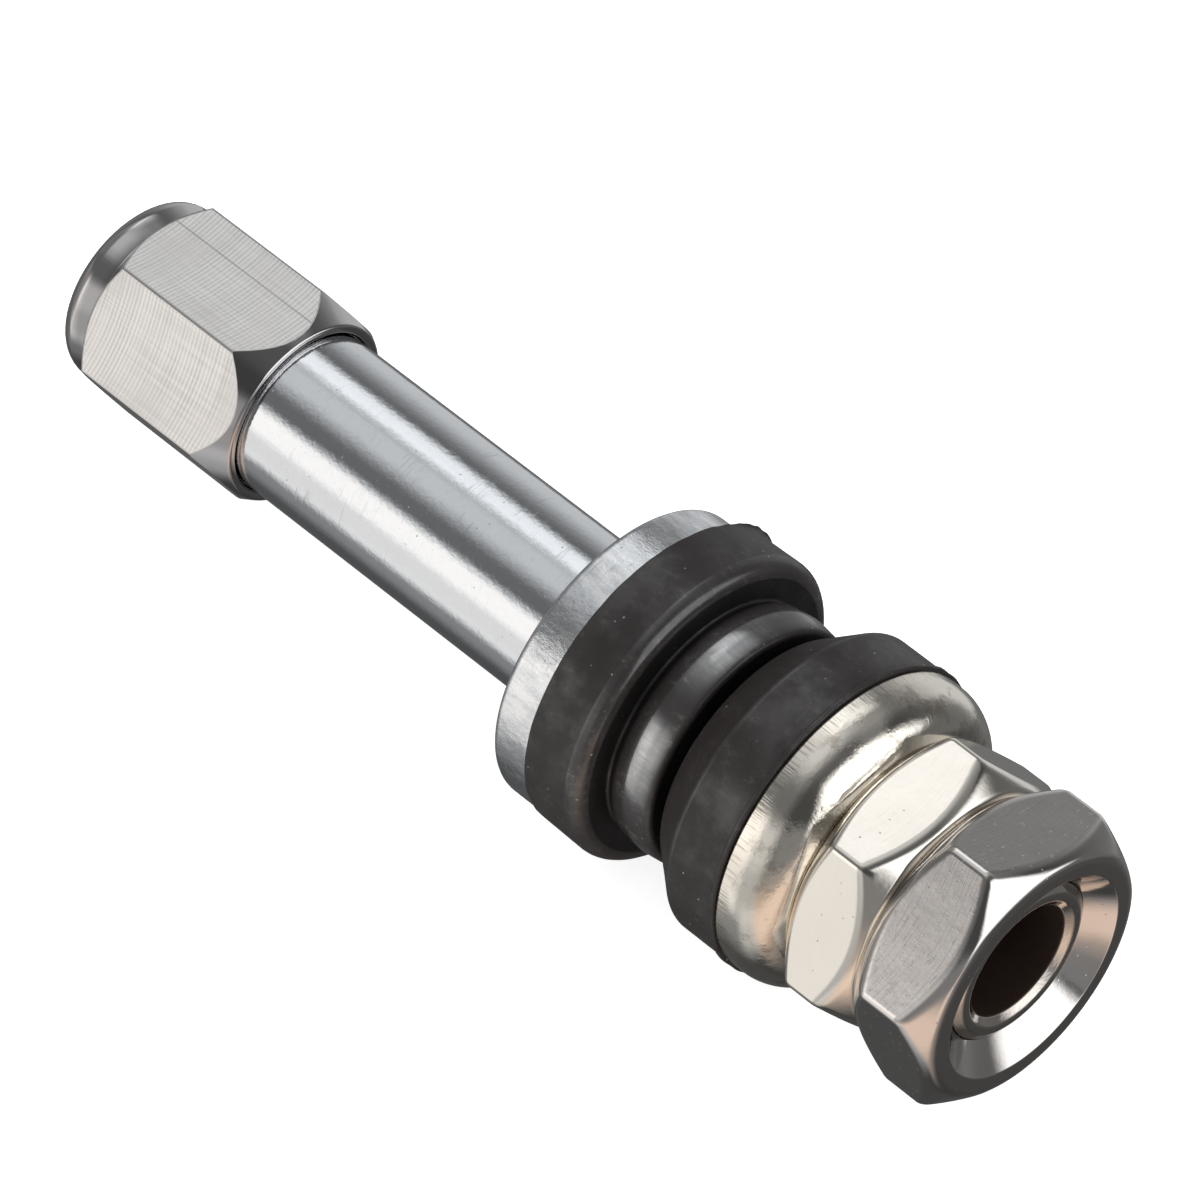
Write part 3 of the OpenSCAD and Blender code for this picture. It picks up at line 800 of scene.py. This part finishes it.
def makeFloor():
    # a glowing sheet under the valve, which the metal does not mirror
    half, z = paper["half"], cadBox[0][2]
    floor = bpy.data.meshes.new("floor")
    corners = [(-half, -half, z), (half, -half, z), (half, half, z), (-half, half, z)]
    floor.from_pydata(corners, [], [(0, 1, 2, 3)])
    material = bpy.data.materials.new("floorPaper")
    material.use_nodes = True
    inputs = material.node_tree.nodes["Principled BSDF"].inputs
    inputs["Base Color"].default_value = paper["colour"]
    inputs["Roughness"].default_value = paper["rough"]
    inputs["Emission Color"].default_value = (1, 1, 1, 1)
    inputs["Emission Strength"].default_value = paper["glow"]
    floor.materials.append(material)
    plane = bpy.data.objects.new("floor", floor)
    bpy.context.scene.collection.objects.link(plane)
    plane.visible_glossy = False


# Soft boxes round the axis: degrees from straight up towards the front, half width, softness, and strength
boxes = {"back": (-104, 32, 24, 0.46), "top": (-29, 12, 8, 0.91), "crown": (4, 20, 14, 0.5),
         "front": (76, 15, 7, 0.32), "frontWide": (93, 36, 8, 0.73), "under": (140, 16, 12, 0.12)}
studio = {"ambient": 0.16, "tailBox": 1.45, "lowGlow": 0.36, "lowBack": 0.05, "capShade": 0.15,
          "cool": (0.965, 0.985, 1.0), "cream": (1.0, 0.975, 0.945), "brown": (1.0, 0.80, 0.67)}
# Where a light comes in or goes out, along the direction's x, y or z, or in degrees round the axis
windows = {"topEnd": (-0.42, -0.14), "frontEnd": (0.2, 0.5), "crownEnd": (-0.2, 0.3), "backEnd": (-0.1, 0.2),
           "backEdge": (-124, -114), "capSide": (-0.86, -0.52), "tail": (0.52, 0.74), "tailLow": (-0.1, 0.2),
           "tailFront": (-0.38, -0.18), "low": (0.15, 0.5), "lowTop": (-0.5, 0.1), "lowBack": (-0.35, 0.3),
           "roomEnd": (0.0, 0.45), "roomLow": (-1.0, -0.6), "underEnd": (-0.2, 0.1)}


def makeWorld():
    # Light by direction: soft boxes set round the middle of the axis, each dimmer past its own end,
    # shade beyond the cap, and past the tail a bright box above and a brown glow below
    world = bpy.data.worlds.new("studio")
    world.use_nodes = True
    bpy.context.scene.world = world
    tree = world.node_tree
    start = Socket(tree)
    way = start.node("TexCoord", {}, {}, "Generated")
    x, y, z = (way.axis(letter) for letter in "XYZ")
    around = start.maths("ARCTAN2", y * -1, z) * (180 / math.pi)

    def window(value, name):
        return value.ramp(*windows[name])

    strips = {}
    for name, (middle, half, soft, strength) in boxes.items():
        off = start.node("Math", {"operation": "WRAP"}, {0: around - middle, 1: 180.0, 2: -180.0})
        strips[name] = (1 - off.size().ramp(half - soft, half + soft)) * strength
    past = window(x, "topEnd")
    frontBox = (strips["front"] + strips["frontWide"]) * (1 - past * 0.55 - window(x, "frontEnd") * 0.3)
    topBox = strips["top"] * (1 - past * 0.85)
    crown = strips["crown"] * (1 - window(x, "crownEnd") * 0.9)
    behind = strips["back"] * window(around, "backEdge") * (1 - window(x, "backEnd") * 0.85)
    under = strips["under"] * (1 + 2.5 * window(x, "underEnd"))
    capSide = studio["capShade"] + (1 - studio["capShade"]) * window(x, "capSide")
    tailBox = window(x, "tail") * window(z, "tailLow") * window(y, "tailFront") * studio["tailBox"]
    lowSide = 1 - (1 - studio["lowBack"]) * window(y, "lowBack")
    lowGlow = window(x, "low") * (1 - window(z, "lowTop")) * lowSide * studio["lowGlow"]
    room = studio["ambient"] * (1 - window(x, "roomEnd") * 0.6) * (0.4 + 0.6 * window(z, "roomLow"))
    light = (frontBox + topBox + crown + behind + under) * capSide + tailBox + lowGlow + room
    colour = frontBox.mix(studio["cool"], studio["cream"])
    colour = (lowGlow * 3).mix(colour, studio["brown"])
    back = tree.nodes["Background"]
    tree.links.new(colour.link, back.inputs["Color"])
    tree.links.new(light.link, back.inputs["Strength"])


# Square lamps that the camera does not see: a wide one overhead, and a small one that the nuts mirror
lamps = {"overhead": {"place": (-0.1, -0.1, 0.9), "aim": (0, 0, 0), "size": 1.8, "power": 7,
                      "spread": 180, "mirrored": False},
         "nutBox": {"place": (-0.0305, 0.0176, 0.0938), "aim": (0.0165, -0.0014, 0.0078), "size": 0.024,
                    "power": 0.00009, "spread": 60, "mirrored": True}}


def makeLamp(name, own):
    lamp = bpy.data.lights.new(name, "AREA")
    lamp.size = own["size"]
    lamp.energy = own["power"]
    lamp.spread = math.radians(own["spread"])
    holder = bpy.data.objects.new(name, lamp)
    holder.location = own["place"]
    holder.rotation_euler = (Vector(own["aim"]) - Vector(own["place"])).to_track_quat("-Z", "Y").to_euler()
    holder.visible_glossy = own["mirrored"]
    holder.visible_camera = False
    bpy.context.scene.collection.objects.link(holder)


# roll is in degrees about the line of sight, and lens and sensor in millimetres
camera = {"place": (0.21149, -0.22325, 0.34898), "aim": (-0.007972, 0.0, 0.003226), "roll": 1.294,
          "lens": 258.02, "sensor": 36}


def makeCamera():
    eye = bpy.data.cameras.new("camera")
    eye.lens = camera["lens"]
    eye.sensor_width = camera["sensor"]
    holder = bpy.data.objects.new("camera", eye)
    bpy.context.scene.collection.objects.link(holder)
    ahead = (Vector(camera["aim"]) - Vector(camera["place"])).normalized()
    level = ahead.cross(Vector((0, 0, 1))).normalized()
    turn = math.radians(camera["roll"])
    right = level * math.cos(turn) + level.cross(ahead) * math.sin(turn)
    up = right.cross(ahead)
    pose = Matrix((right, up, -ahead)).transposed().to_4x4()
    pose.translation = camera["place"]
    holder.matrix_world = pose
    bpy.context.scene.camera = holder


bpy.context.scene.view_settings.view_transform = "Standard"
makeFloor()
makeWorld()
for name, own in lamps.items():
    makeLamp(name, own)
makeCamera()
print("floor, light and camera set")
